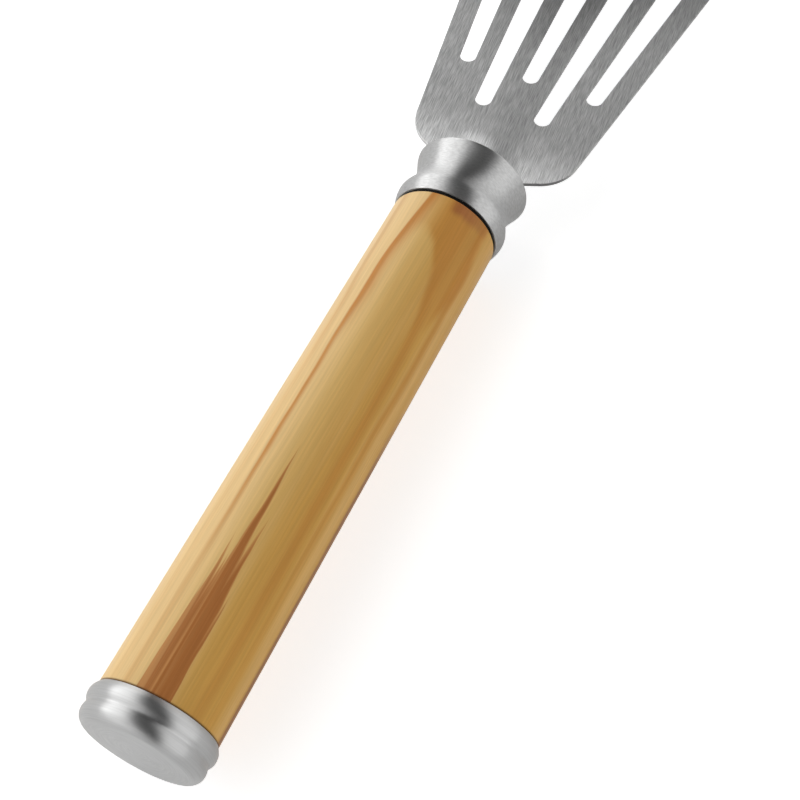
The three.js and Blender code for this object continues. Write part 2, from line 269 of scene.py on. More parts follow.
def new_finish(name):
    """New material, with its node tree and its shader."""
    finish = bpy.data.materials.new(name)
    finish.use_nodes = True
    return finish, finish.node_tree, finish.node_tree.nodes["Principled BSDF"]


def spot_on_piece(tree):
    """Where the shaded point is, in the frame that all the pieces share."""
    return add_node(tree, "ShaderNodeTexCoord").outputs["Object"]


white_paper, paper, surface = new_finish("white_floor")
seen, mirrored = ray_kinds(paper)
floor_x, _, _ = axes(paper, spot_on_piece(paper))
lit_side = soft_step(paper, floor_x, FLOOR_GLOW_EDGE, -FLOOR_GLOW_EDGE, *FLOOR_GLOW_MIRRORED)
glow = calc(paper, "ADD", calc(paper, "MULTIPLY", seen, FLOOR_GLOW_SEEN),
            calc(paper, "MULTIPLY", mirrored, lit_side))
set_inputs(surface, {"Base Color": grey(FLOOR_COLOUR), "Roughness": FLOOR_ROUGHNESS,
                     "Emission Color": grey(1.0), "Emission Strength": glow})

floor_mesh = bpy.data.meshes.new("floor")
floor_corners = [(-1, -1), (1, -1), (1, 1), (-1, 1)]
floor_mesh.from_pydata(
    [(x * FLOOR_REACH, y * FLOOR_REACH, cad_box[0].z) for x, y in floor_corners], [], [range(4)]
)
floor_mesh.materials.append(white_paper)
floor = placed("floor", floor_mesh)
print("floor at", round(cad_box[0].z / MM, 3), "mm")

# %% [markdown]
# ## Wood
# The grip is turned from a piece of honey-coloured wood with lively grain. A picture wrapped
# round it could show that, but it would need painting and would blur up close. Here the grain is
# worked out from two numbers at each point: the angle round the handle's axis, in degrees from
# the top and growing to the right, and the height above the cap, in millimetres. Noise that is
# stretched along the handle shifts both a little, so that no edge in the grain is quite regular.

# %% Wood: where a point is on the grip
WANDER = 4.0
SHIVER = 2.5
LIFT = 3.0

wood, grain, wood_surface = new_finish("honey_wood")
to_grip = (0, -grip_rear, -axis_height)
centred = add_node(grain, "ShaderNodeMapping",
                   {"Vector": spot_on_piece(grain), "Location": to_grip}).outputs[0]
grip_x, grip_y, grip_z = axes(grain, centred)
plain_angle = calc(grain, "MULTIPLY", calc(grain, "ARCTAN2", grip_x, grip_z), math.degrees(1))
plain_height = calc(grain, "DIVIDE", grip_y, MM)


def stretched_noise(tree, vector, across, along, detail=2.0, roughness=0.5):
    """Noise from 0 to 1 with so many waves to the metre across and along the handle."""
    scaled = add_node(tree, "ShaderNodeMapping",
                      {"Vector": vector, "Scale": (across, along, across)}).outputs[0]
    node = add_node(tree, "ShaderNodeTexNoise",
                    {"Vector": scaled, "Scale": 1.0, "Detail": detail, "Roughness": roughness})
    return node.outputs[0]


def swing(noise, size):
    """Noise turned into a shift to both sides."""
    return calc(grain, "MULTIPLY", calc(grain, "SUBTRACT", noise, 0.5), size)


waviness = stretched_noise(grain, centred, across=60, along=22)
ripple = stretched_noise(grain, centred, across=260, along=90)
sway = calc(grain, "ADD", swing(waviness, WANDER), swing(ripple, SHIVER))
angle = calc(grain, "ADD", plain_angle, sway)
height = calc(grain, "ADD", plain_height, swing(ripple, LIFT))
print("wood: angle and height ready")

# %% [markdown]
# ### Yearly rings
# A ring is pale wood that darkens and then ends at a crisp edge. On a turned bar the rings show
# as long streaks, and where the cut runs out of a ring the streak closes into an arch. A wave
# texture gives rings too, but each one the same. These are few and each has its own place, so a
# few small helpers draw them one by one.

# %% Wood: how a ring is drawn
def times(*values):
    """Product of values in the wood's tree."""
    result = values[0]
    for value in values[1:]:
        result = calc(grain, "MULTIPLY", result, value)
    return result


def by_height(faint, full, least=0.0):
    """Least at the one height and 1 at the other. Either may be the higher one."""
    return soft_step(grain, height, faint, full, least, 1.0)


def by_angle(faint, full, least=0.0):
    """Least at the one angle and 1 at the other. Either may be the larger one."""
    return soft_step(grain, angle, faint, full, least, 1.0)


def leaning(below, above, start, end):
    """Angle of a line that moves over from one angle to another between two heights."""
    return soft_step(grain, height, start, end, below, above)


def ring_edge(value, edge, crisp, fade):
    """0 before an edge, 1 just behind it, then fading: how one yearly ring darkens and ends."""
    off = calc(grain, "SUBTRACT", value, edge)
    return times(soft_step(grain, off, -crisp, crisp), soft_step(grain, off, fade, crisp))


print("wood: ring helpers ready")

# %% [markdown]
# The arch is a family of lines with two straight legs and a round top. Every point gets a ring
# number, which is about 1 on the main line, less inside and more outside. The darker wood over
# the top is the crown, with a paler gap through its right side. The wood is darkest in a small
# knot beside the black ring.

# %% Wood: arch, crown and knot
ARCH_MIDDLE = 10.5
ARCH_HALF = 31.5
ARCH_TOP = 114.0
ARCH_ROUNDING = 8.0
ARCH_TILT = 0.3
ARCH_LINE = 0.95
CROWN_LINE = (0.86, 1.12)
LEFT_LEG_FADE = (-0.55, 0.10)
LEFT_CROWN_SHARE = 0.45
CROWN_SOFTNESS = 7
GAP_LOSS = 0.5

off_arch = calc(grain, "SUBTRACT", angle, ARCH_MIDDLE)
sideways = calc(grain, "DIVIDE", off_arch, ARCH_HALF)
tilted_height = calc(grain, "MULTIPLY_ADD", off_arch, ARCH_TILT, height)
above_arch = calc(grain, "SUBTRACT", tilted_height, ARCH_TOP)
closing = calc(grain, "EXPONENT", calc(grain, "DIVIDE", above_arch, ARCH_ROUNDING))
ring_number = calc(grain, "SQRT", calc(grain, "ADD", times(sideways, sideways), closing))
arch = times(ring_edge(ring_number, ARCH_LINE, crisp=0.11, fade=0.45),
             soft_step(grain, sideways, *LEFT_LEG_FADE),
             by_height(faint=-40, full=60), by_height(faint=110, full=94))

turning_in = leaning(below=0.0, above=8.0, start=110, end=123)
crown_right = leaning(below=46.0, above=65.0, start=90, end=108)
past_crown = calc(grain, "ADD", calc(grain, "SUBTRACT", angle, crown_right), turning_in)
crown_gap = times(by_angle(faint=36, full=43), by_angle(faint=54, full=47))
crown_side = times(soft_step(grain, sideways, *LEFT_LEG_FADE, LEFT_CROWN_SHARE, 1.0),
                   by_angle(faint=-19, full=-11),
                   soft_step(grain, past_crown, CROWN_SOFTNESS, -CROWN_SOFTNESS))
crown = times(soft_step(grain, ring_number, *CROWN_LINE), crown_side,
              by_height(faint=84, full=104),
              calc(grain, "MULTIPLY_ADD", crown_gap, -GAP_LOSS, 1.0))
knot = times(by_angle(faint=7, full=17), by_angle(faint=66, full=18, least=0.35),
             by_angle(faint=64, full=56), by_height(faint=121.5, full=124.0))
print("wood: arch with its top at", ARCH_TOP, "mm")

# %% [markdown]
# Beside the arch the rings run nearly straight. On the left is one strong line that leans over
# near the ferrule, with a fainter one further out. On the right is a broad band, and a dark one
# lies on the edge of the view. The back of the grip shows more rings of the same family, spaced
# evenly by their ring number.

# %% Wood: lines and bands
BACK_RINGS = 1.9
BACK_RING_LINE = 0.12
FRONT_MIDDLE = 14.0
BACK_EDGE = (84, 100)


def grain_line(edge, crisp, fade, faint, full, least=0.0):
    """A ring that runs along the handle, faint at the one height and full at the other."""
    return times(ring_edge(angle, edge, crisp, fade), by_height(faint, full, least))


outer_straight = leaning(below=56.5, above=59.0, start=66, end=80)
outer_angle = calc(grain, "SUBTRACT", outer_straight, turning_in)
left_angle = leaning(below=-26.4, above=-4.0, start=101, end=148)
far_left_angle = leaning(below=-45.0, above=-50.0, start=85, end=110)
outer_band = grain_line(outer_angle, crisp=2.5, fade=13.0, faint=-40, full=85)
left_line = grain_line(left_angle, crisp=1.3, fade=17.0, faint=78, full=98)
left_core = grain_line(left_angle, crisp=1.5, fade=8.0, faint=20, full=56)
left_tail = grain_line(-27.5, crisp=2.5, fade=11.0, faint=56, full=30)
far_left = grain_line(far_left_angle, crisp=2.0, fade=13.0, faint=60, full=100, least=0.3)
edge_band = grain_line(86.0, crisp=4.0, fade=30.0, faint=84, full=60)

back_ring = calc(grain, "FRACT", calc(grain, "MULTIPLY", ring_number, BACK_RINGS))
off_front = calc(grain, "ABSOLUTE", calc(grain, "SUBTRACT", plain_angle, FRONT_MIDDLE))
back_rings = times(ring_edge(back_ring, BACK_RING_LINE, crisp=0.06, fade=0.6),
                   soft_step(grain, off_front, *BACK_EDGE))
print("wood: lines and bands ready")

# %% [markdown]
# ### Flame
# Dark heartwood comes up from the cap as a flame with pointed tips. Each tip is given by its
# angle and its height, and by how many millimetres its left and its right side fall for each
# degree. The flame is whatever lies under the highest of them. Its heart is darker, in tongues
# that a strongly stretched noise draws, and darkest towards the right.

# %% Wood: flame
FLAME_TIPS = (
    (4.4, 58.0, 5.0, 7.0), (12.6, 40.0, 2.4, 6.0), (-6.4, 36.0, 6.5, 4.0),
    (-9.0, 24.0, 6.0, 5.0), (17.6, 24.0, 3.0, 11.0), (-2.6, 31.0, 4.0, 3.0), (8.0, 35.0, 3.0, 4.0),
)
FLAME_EDGE = (-1.0, 5.0)
HEART_EDGE = (1.0, 12.0)
HEART_TONGUES = (0.37, 0.60)
DARKER_PER_DEGREE = 0.009

flame_top = None
for tip_angle, tip_height, left_slope, right_slope in FLAME_TIPS:
    off_tip = calc(grain, "SUBTRACT", angle, tip_angle)
    drop = calc(grain, "MAXIMUM", times(off_tip, right_slope), times(off_tip, -left_slope))
    tip_sides = calc(grain, "SUBTRACT", tip_height, drop)
    flame_top = tip_sides if flame_top is None else calc(grain, "MAXIMUM", flame_top, tip_sides)
inside_flame = calc(grain, "SUBTRACT", flame_top, height)
flame = soft_step(grain, inside_flame, *FLAME_EDGE)
tongues = stretched_noise(grain, centred, across=900, along=9, detail=3.0)
darker_right = calc(grain, "ADD", tongues, times(angle, DARKER_PER_DEGREE))
flame_heart = times(soft_step(grain, inside_flame, *HEART_EDGE),
                    soft_step(grain, darker_right, *HEART_TONGUES))
print("wood: flame with", len(FLAME_TIPS), "tips")

# %% [markdown]
# ### Colours
# The ground goes from cream on the left over honey to amber on the right, with paler and browner
# bands along the handle. The rings and the flame are laid over it one after the other, each with
# its own colour and strength, as a painter would glaze them. Where the wood meets the cap, a thin
# line of painted shade darkens the joint.

# %% Wood: colours
CREAM = (0.785, 0.548, 0.258, 1.0)
HONEY = (0.66, 0.43, 0.155, 1.0)
AMBER = (0.575, 0.314, 0.070, 1.0)
SOFT_BROWN = (0.475, 0.192, 0.028, 1.0)
ORANGE_BROWN = (0.51, 0.200, 0.032, 1.0)
EDGE_BROWN = (0.255, 0.090, 0.017, 1.0)
FLAME_ORANGE = (0.505, 0.230, 0.076, 1.0)
HEART_BROWN = (0.365, 0.136, 0.038, 1.0)
JOINT_SHADE_BROWN = (0.10, 0.045, 0.015, 1.0)
CREAM_TO_HONEY = (-40, 5)
HONEY_TO_AMBER = (-5, 34)
PALE_BANDS = (0.40, 0.80)
PALE_SHARE = 0.35
BROWN_BANDS = (0.45, 0.20)
BROWN_SHARE = 0.30
JOINT_SHADE_HEIGHTS = (0.55, 0.15)


def mix_colours(tree, share, first, second):
    """First colour where share is 0, second where it is 1."""
    node = add_node(tree, "ShaderNodeMix", {0: share, 6: first, 7: second}, data_type="RGBA")
    return node.outputs[2]


bands = stretched_noise(grain, centred, across=170, along=6, detail=3.0)
pale = soft_step(grain, bands, *PALE_BANDS, 0.0, PALE_SHARE)
brown = soft_step(grain, bands, *BROWN_BANDS, 0.0, BROWN_SHARE)
tone = mix_colours(grain, soft_step(grain, plain_angle, *CREAM_TO_HONEY), CREAM, HONEY)
tone = mix_colours(grain, soft_step(grain, plain_angle, *HONEY_TO_AMBER), tone, AMBER)
tone = mix_colours(grain, pale, tone, CREAM)
tone = mix_colours(grain, brown, tone, SOFT_BROWN)
for ring, share, colour in (
    (back_rings, 0.55, SOFT_BROWN), (arch, 0.52, SOFT_BROWN), (crown, 0.72, SOFT_BROWN),
    (outer_band, 0.55, SOFT_BROWN), (edge_band, 0.95, EDGE_BROWN), (knot, 1.0, HEART_BROWN),
    (far_left, 0.36, ORANGE_BROWN), (left_tail, 0.30, ORANGE_BROWN),
    (left_line, 0.80, ORANGE_BROWN), (left_core, 0.88, ORANGE_BROWN),
    (flame, 0.95, FLAME_ORANGE), (flame_heart, 0.95, HEART_BROWN),
    # A thin line of painted shade where the wood meets the cap.
    (soft_step(grain, plain_height, *JOINT_SHADE_HEIGHTS), 0.85, JOINT_SHADE_BROWN),
):
    tone = mix_colours(grain, times(ring, share), tone, colour)
print("wood: colours laid on")

# %% [markdown]
# Fine fibres run through all of it. One very stretched noise does three things at once: it
# varies the shade and the gloss from fibre to fibre, and its bumps are the pores that an oiled
# surface still shows.

# %% Wood: fibres and gloss
FIBRES_SHADED = (0.25, 0.75)
FIBRE_SHADE = (0.97, 1.12)
FIBRES_GLOSSED = (0.2, 0.8)
FIBRE_ROUGHNESS = (0.36, 0.28)
WOOD_MIRROR = 0.12
PORE_STRENGTH = 0.10
PORE_DEPTH = 0.05 * MM


def shaded(tree, colour, factor):
    """Colour made lighter or darker by a factor."""
    return add_node(tree, "ShaderNodeVectorMath", {0: colour, "Scale": factor},
                    operation="SCALE").outputs[0]


fibres = stretched_noise(grain, centred, across=2200, along=45, detail=4.0, roughness=0.6)
fibre_shade = soft_step(grain, fibres, *FIBRES_SHADED, *FIBRE_SHADE)
pores = add_node(grain, "ShaderNodeBump", {
    "Height": fibres, "Strength": PORE_STRENGTH, "Distance": PORE_DEPTH}).outputs[0]
set_inputs(wood_surface, {
    "Base Color": shaded(grain, tone, fibre_shade),
    "Roughness": soft_step(grain, fibres, *FIBRES_GLOSSED, *FIBRE_ROUGHNESS),
    "Specular IOR Level": WOOD_MIRROR,
    "Normal": pores,
})
print("finish:", wood.name)

# %% [markdown]
# ## Steel
# The turned pieces carry fine grooves that run round the axis, short on the ferrule and longer
# on the cap, and the blade carries straight brush marks along its length. The cap's end face is
# only satin. Grooves could be modelled, but they are far too fine. They blur a reflection across
# themselves and leave it sharp along themselves, and the shader's anisotropy does exactly that,
# along the first direction of the piece's UV map. So each steel piece gets a UV map whose first
# direction crosses its grooves, and the same map stretches the noise that draws single scratches.

# %% Steel finishes
CLOUD_WIDTH = 5
CLOUD_LENGTH = 2.5
SCRATCH_SHARE = 0.85
CLOUD_SHARE = 0.15
MARK_RANGE = (0.3, 0.7)
ROUGHER = 1.12
SMOOTHER = 0.9
MARK_STRENGTH = 0.12
MARK_DEPTH = 0.02 * MM


def grooved_steel(name, reflectance, roughness, anisotropy, across, along, contrast):
    """Steel with grooves along V of the UV map: so many to the metre across, by so many along."""
    finish, tree, surface = new_finish(name)
    place = add_node(tree, "ShaderNodeUVMap", uv_map="UVMap").outputs[0]
    fine = add_node(tree, "ShaderNodeMapping",
                    {"Vector": place, "Scale": (across, along, 1)}).outputs[0]
    wide_scale = (across / CLOUD_WIDTH, along / CLOUD_LENGTH, 1)
    wide = add_node(tree, "ShaderNodeMapping", {"Vector": place, "Scale": wide_scale}).outputs[0]
    scratch = add_node(tree, "ShaderNodeTexNoise", {
        "Vector": fine, "Scale": 1.0, "Detail": 2.0, "Roughness": 0.6}).outputs[0]
    cloud = add_node(tree, "ShaderNodeTexNoise", {
        "Vector": wide, "Scale": 1.0, "Detail": 2.0}).outputs[0]
    marks = calc(tree, "ADD", calc(tree, "MULTIPLY", scratch, SCRATCH_SHARE),
                 calc(tree, "MULTIPLY", cloud, CLOUD_SHARE))
    dark = (*(c * (1 - contrast) for c in reflectance), 1.0)
    light = (*(c * (1 + contrast) for c in reflectance), 1.0)
    set_inputs(surface, {
        "Metallic": 1.0,
        "Anisotropic": anisotropy,
        "Base Color": mix_colours(tree, soft_step(tree, marks, *MARK_RANGE), dark, light),
        "Roughness": soft_step(tree, marks, *MARK_RANGE, roughness * ROUGHER,
                               roughness * SMOOTHER),
        "Tangent": add_node(tree, "ShaderNodeTangent", direction_type="UV_MAP",
                            uv_map="UVMap").outputs[0],
        "Normal": add_node(tree, "ShaderNodeBump", {
            "Height": marks, "Strength": MARK_STRENGTH, "Distance": MARK_DEPTH}).outputs[0],
    })
    print("finish:", name)
    return finish


blade_steel = grooved_steel("brushed_blade_steel", reflectance=(0.475, 0.475, 0.473),
                            roughness=0.52, anisotropy=0.7, across=5000, along=230, contrast=0.29)
ferrule_steel = grooved_steel("turned_ferrule_steel", reflectance=(0.49, 0.49, 0.487),
                              roughness=0.38, anisotropy=0.9, across=3600, along=70, contrast=0.10)
cap_steel = grooved_steel("turned_cap_steel", reflectance=(0.50, 0.50, 0.497),
                          roughness=0.38, anisotropy=0.9, across=3600, along=6, contrast=0.04)
end_steel = grooved_steel("satin_end_steel", reflectance=(0.49, 0.49, 0.487),
                          roughness=0.34, anisotropy=0.0, across=2600, along=9, contrast=0.03)

# %% [markdown]
# The blade's colour carries painted light and shade. A painted sheen lies beside the ferrule on the
# shoulders, with one brighter spot of painted glint. Painted shade darkens the blade a little
# along the middle and most on the bars between the slots. Separate finishes would meet in
# hard lines, so one factor on the steel's colour adds it all, from the place on the blade.

# %% Blade steel: painted sheen, glint and shade
SHEEN_END = 26 * MM
SHEEN_FULL = 3 * MM
SHEEN_GAIN = 0.90
GLINT_X = -3.4 * MM
GLINT_Y = 14.2 * MM
GLINT_FULL = 1.8 * MM
GLINT_END = 6.2 * MM
GLINT_GAIN = 0.55
MIDDLE_PLACE = 2.4 * MM
MIDDLE_HALF = 8.0 * MM
MIDDLE_SHADE = 0.13
BARS_MIDDLE = -4.5 * MM
BARS_START = 31 * MM
BARS_FULL = 75 * MM
BARS_END = 118 * MM
BARS_SHADE = 0.50
BARS_SPREAD = 0.87

brushed = blade_steel.node_tree
spot_x, spot_y, _ = axes(brushed, spot_on_piece(brushed))
off_middle = calc(brushed, "ABSOLUTE", calc(brushed, "SUBTRACT", spot_x, MIDDLE_PLACE))
# Painted sheen: a highlight painted on the shoulders beside the ferrule.
painted_sheen = calc(brushed, "MULTIPLY", soft_step(brushed, off_middle, 0.0, MIDDLE_HALF),
              soft_step(brushed, spot_y, SHEEN_END, SHEEN_FULL))
# Painted glint: one round spot of painted highlight in front of the rim.
glint_dx = calc(brushed, "SUBTRACT", spot_x, GLINT_X)
glint_dy = calc(brushed, "SUBTRACT", spot_y, GLINT_Y)
off_glint = calc(brushed, "SQRT", calc(brushed, "MULTIPLY_ADD", glint_dx, glint_dx,
                                        calc(brushed, "MULTIPLY", glint_dy, glint_dy)))
painted_glint = soft_step(brushed, off_glint, GLINT_END, GLINT_FULL, 0.0, GLINT_GAIN)
# Painted shade on the bars between the slots.
off_bars = calc(brushed, "ABSOLUTE", calc(brushed, "SUBTRACT", spot_x, BARS_MIDDLE))
along_bars = calc(brushed, "MULTIPLY_ADD", off_bars, -BARS_SPREAD, spot_y)
bars_shade = calc(brushed, "MULTIPLY", soft_step(brushed, along_bars, BARS_START, BARS_FULL),
                 soft_step(brushed, spot_y, BARS_END, BARS_FULL))
# Painted shade along the middle, then the painted highlights and shade summed into one factor.
factor = soft_step(brushed, off_middle, 0.0, MIDDLE_HALF, 1 - MIDDLE_SHADE, 1.0)
factor = calc(brushed, "MULTIPLY_ADD", painted_sheen, SHEEN_GAIN, factor)
factor = calc(brushed, "MULTIPLY_ADD", bars_shade, -BARS_SHADE, factor)
factor = calc(brushed, "ADD", factor, painted_glint)
print("blade steel: buffed beside the ferrule, duller between the slots")

# %% [markdown]
# Two more pieces of painted light and shade act on the whole blade. It is painted a little lighter
# towards its left side, the side of the bright wall, and the cut faces at the rear get painted
# shade. A material can't tell a cut face from the flat by its place alone, so those faces bring a
# number of their own. The blade's mesh gets it further below.

# %% Blade steel: painted light to the left, painted shade on the cut faces
LEFT_LIGHT_PER_METRE = 2.5
CUT_SHADE_LOSS = 0.66

# Painted light: the colour grows lighter towards the blade's left side.
left_light = calc(brushed, "MULTIPLY_ADD", spot_x, -LEFT_LIGHT_PER_METRE, 1.0)
# Painted shade on the rear cut faces, read from the number that the blade's mesh carries.
dull_cut = add_node(brushed, "ShaderNodeAttribute", attribute_name="dull_cut").outputs["Fac"]
cut_shade_factor = calc(brushed, "MULTIPLY_ADD", dull_cut, -CUT_SHADE_LOSS, 1.0)
factor = calc(brushed, "MULTIPLY", factor, calc(brushed, "MULTIPLY", left_light, cut_shade_factor))
# The painted light and shade scale the brushed steel's colour.
surface = brushed.nodes["Principled BSDF"]
even_colour = surface.inputs["Base Color"].links[0].from_socket
set_inputs(surface, {"Base Color": shaded(brushed, even_colour, factor)})
print("blade steel: brighter to the left, dull on the rear cut faces")

# %% [markdown]
# ## Hidden steel and black rubber
# The tie rod and its pins are plain drawn bar, faintly streaked along its length. Nobody sees
# them in the finished tool, so one noise that is stretched along the handle is enough. The ring
# is matt black rubber. A flat black would look like a hole in the picture, so a fine speckle
# varies its colour and its gloss.

# %% Hidden steel and black rubber
DARK_BAR = (0.42, 0.43, 0.44, 1)
LIGHT_BAR = (0.55, 0.56, 0.57, 1)
BAR_ROUGHNESS = (0.55, 0.4)
DARK_RUBBER = (0.003, 0.003, 0.003, 1)
LIGHT_RUBBER = (0.010, 0.0095, 0.009, 1)
RUBBER_ROUGHNESS = (0.5, 0.65)
RUBBER_MIRROR = 0.05
SPECKS_PER_METRE = 2500.0
NOISE_RANGE = (0.2, 0.8)

core_steel, tree, surface = new_finish("plain_core_steel")
drawn = stretched_noise(tree, spot_on_piece(tree), across=3000, along=120)
set_inputs(surface, {
    "Metallic": 1.0,
    "Base Color": mix_colours(tree, drawn, DARK_BAR, LIGHT_BAR),
    "Roughness": soft_step(tree, drawn, *NOISE_RANGE, *BAR_ROUGHNESS),
})

black_rubber, tree, surface = new_finish("black_rubber")
speck = add_node(tree, "ShaderNodeTexNoise", {
    "Vector": spot_on_piece(tree), "Scale": SPECKS_PER_METRE}).outputs[0]
set_inputs(surface, {
    "Base Color": mix_colours(tree, speck, DARK_RUBBER, LIGHT_RUBBER),
    "Roughness": soft_step(tree, speck, *NOISE_RANGE, *RUBBER_ROUGHNESS),
    "Specular IOR Level": RUBBER_MIRROR,
})
print("finishes:", core_steel.name, black_rubber.name)

# %% [markdown]
# ## Turned pieces
# Grip, ring, ferrule and cap all come off a lathe, so each is one profile turned round the
# handle's axis. The Screw modifier could turn it too. A short function does it here, because it
# can lay a UV map that measures real lengths along the profile. A profile is a list of points,
# each with a radius and a place along the handle. Two helpers draw its smooth stretches and its
# rounded corners.

# %% Lathe helpers: curves of a profile
CURVE_STEPS = 14
EASE_STEPS = 4
EASE_PULL = 0.6


def curve(start, first_pull, second_pull, end):
    """Points of a smooth curve without its first one, so that it can follow another."""
    points = [Vector(p).to_3d() for p in (start, first_pull, second_pull, end)]
    return [p.to_2d() for p in interpolate_bezier(*points, CURVE_STEPS + 1)][1:]


def eased(before, corner, after, radius):
    """Points that round a corner of a profile off."""
    before, corner, after = Vector(before), Vector(corner), Vector(after)
    start = corner + (before - corner).normalized() * radius
    end = corner + (after - corner).normalized() * radius
    pulls = (start.lerp(corner, EASE_PULL), end.lerp(corner, EASE_PULL))
    points = [p.to_3d() for p in (start, *pulls, end)]
    return [p.to_2d() for p in interpolate_bezier(*points, EASE_STEPS + 1)]


print("profile helpers ready")

# %% [markdown]
# The lathe joins ring after ring of points into faces and lays the UV map as it goes: U runs
# along the profile, across the tool marks, and V runs round the axis, along them. A ring with no
# radius is a single point on the axis, and its faces are triangles.

# %% Lathe helpers: turning a profile
TURNED_SEGMENTS = 180
SHARP_ANGLE = math.radians(35)
SAME_POINT = 1e-7


def outward(mesh):
    """Merges doubles and turns every face of a closed mesh outwards."""
    work = bmesh.new()
    work.from_mesh(mesh)
    bmesh.ops.remove_doubles(work, verts=work.verts, dist=SAME_POINT)
    bmesh.ops.recalc_face_normals(work, faces=work.faces)
    work.to_mesh(mesh)
    work.free()


def turned(name, profile, finish):
    """Closed piece from a profile of (radius, place) points. A profile that starts on the axis
    ends there too, and any other profile is a closed loop."""
    profile = [Vector(p) for p in profile]
    is_loop = profile[0].x > 0
    pairs = list(zip(profile, profile[1:] + profile[:1] if is_loop else profile[1:]))
    travel = [0.0]
    for start, end in pairs:
        travel.append(travel[-1] + (end - start).length)

    points, rings = [], []
    for radius, place in profile:
        count = TURNED_SEGMENTS if radius > 0 else 1
        rings.append([len(points) + i for i in range(count)])
        for i in range(count):
            turn = math.tau * i / TURNED_SEGMENTS
            points.append((radius * math.sin(turn), place, axis_height + radius * math.cos(turn)))

    faces, layout = [], []
    for p in range(len(pairs)):
        near, far = rings[p], rings[(p + 1) % len(rings)]
        for i in range(TURNED_SEGMENTS):
            here, there = i / TURNED_SEGMENTS, (i + 1) / TURNED_SEGMENTS
            after = (i + 1) % TURNED_SEGMENTS
            face = [(near[i % len(near)], travel[p], here)]
            if len(near) > 1:
                face.append((near[after], travel[p], there))
            face.append((far[after % len(far)], travel[p + 1], there))
            if len(far) > 1:
                face.append((far[i], travel[p + 1], here))
            faces.append([corner[0] for corner in face])
            layout.extend((corner[1], corner[2]) for corner in face)

    mesh = bpy.data.meshes.new(name)
    mesh.from_pydata(points, [], faces)
    uv = mesh.uv_layers.new(name="UVMap")
    for loop, place in zip(uv.data, layout):
        loop.uv = place
    outward(mesh)
    mesh.shade_smooth()
    mesh.set_sharp_from_angle(angle=SHARP_ANGLE)
    mesh.materials.append(finish)
    print(f"{name}: {len(mesh.polygons)} faces")
    return placed(name, mesh)


print("lathe ready:", TURNED_SEGMENTS, "segments to a turn")

# %% [markdown]
# ## Grip and ring
# The grip is a plain barrel with its two edges just broken. Inside it is bored for the tie rod,
# has a wider bore for the tang and a recess for the cap's spigot, and ends in a tenon that goes
# into the ferrule. A cylinder with holes cut in would do, but on the lathe the bores are part of
# the same profile, which runs along the outside and back through the inside.

# %% Grip
FIT = 0.3 * MM
GRIP_EDGE = 0.35 * MM
TENON_RADIUS = 8.38 * MM
TANG_BORE = 4.33 * MM
SPIGOT_RADIUS = 6.5 * MM

spigot_front = cap_high.y
tenon_front = grip_high.y
tang_floor = blade_low.y - FIT
rod_bore = rod_high.x + FIT
recess = SPIGOT_RADIUS + FIT

rear_outer = (grip_radius, grip_rear)
front_outer = (grip_radius, grip_front)
grip_profile = [(recess, grip_rear)]
grip_profile += eased((recess, grip_rear), rear_outer, front_outer, GRIP_EDGE)
grip_profile += eased(rear_outer, front_outer, (TENON_RADIUS, grip_front), GRIP_EDGE)
grip_profile += [
    (TENON_RADIUS, grip_front), (TENON_RADIUS, tenon_front),
    (TANG_BORE, tenon_front), (TANG_BORE, tang_floor),
    (rod_bore, tang_floor), (rod_bore, spigot_front + FIT), (recess, spigot_front + FIT),
]
wooden_grip = turned("turned_grip", grip_profile, wood)

# %% [markdown]
# The black ring sits round the grip's tenon, a touch lower than the wood. Its profile is a small
# rectangle with the two outer corners rounded, as a cut rubber ring has them.

# %% Ring
RING_EDGE = 0.2 * MM

ring_radius = ring_high.x
ring_bore = TENON_RADIUS + FIT
ring_profile = [(ring_bore, grip_front)]
ring_profile += eased((ring_bore, grip_front), (ring_radius, grip_front),
                      (ring_radius, ferrule_rear), RING_EDGE)
ring_profile += eased((ring_radius, grip_front), (ring_radius, ferrule_rear),
                      (ring_bore, ferrule_rear), RING_EDGE)
ring_profile += [(ring_bore, ferrule_rear)]
rubber_ring = turned("black_ring", ring_profile, black_rubber)

# %% [markdown]
# ## Ferrule
# The ferrule swells to a bead beside the ring, sinks to a hollow neck and flares out to a rim
# that the blade comes out of. Straight steps with a bevel would show their corners in the
# reflections. Three curves that share their tangents give that line in one sweep. The socket for
# the tenon is open towards the wood.

# %% Ferrule
FERRULE_EDGE_HEIGHT = 0.1 * MM
BEAD_HEIGHT = 0.88 * MM
BEAD_SETBACK = 3.3 * MM
NECK_DEPTH = 0.62 * MM
NECK_TO_RIM = 6.5 * MM
FLARE_ANGLE = math.radians(22)
RIM_EDGE = 0.25 * MM
FRONT_WALL = 3.0 * MM

rear_radius = grip_radius + FERRULE_EDGE_HEIGHT
bead_radius = grip_radius + BEAD_HEIGHT
neck_radius = grip_radius - NECK_DEPTH
rim_radius = ferrule_high.x
socket_radius = TENON_RADIUS + FIT
socket_floor = ferrule_front - FRONT_WALL
bead = ferrule_rear + BEAD_SETBACK
neck = ferrule_front - NECK_TO_RIM
rim = ferrule_front - RIM_EDGE
fall = neck - bead
rise = rim - neck
flare_pull = rim_radius - math.tan(FLARE_ANGLE) * rise / 3

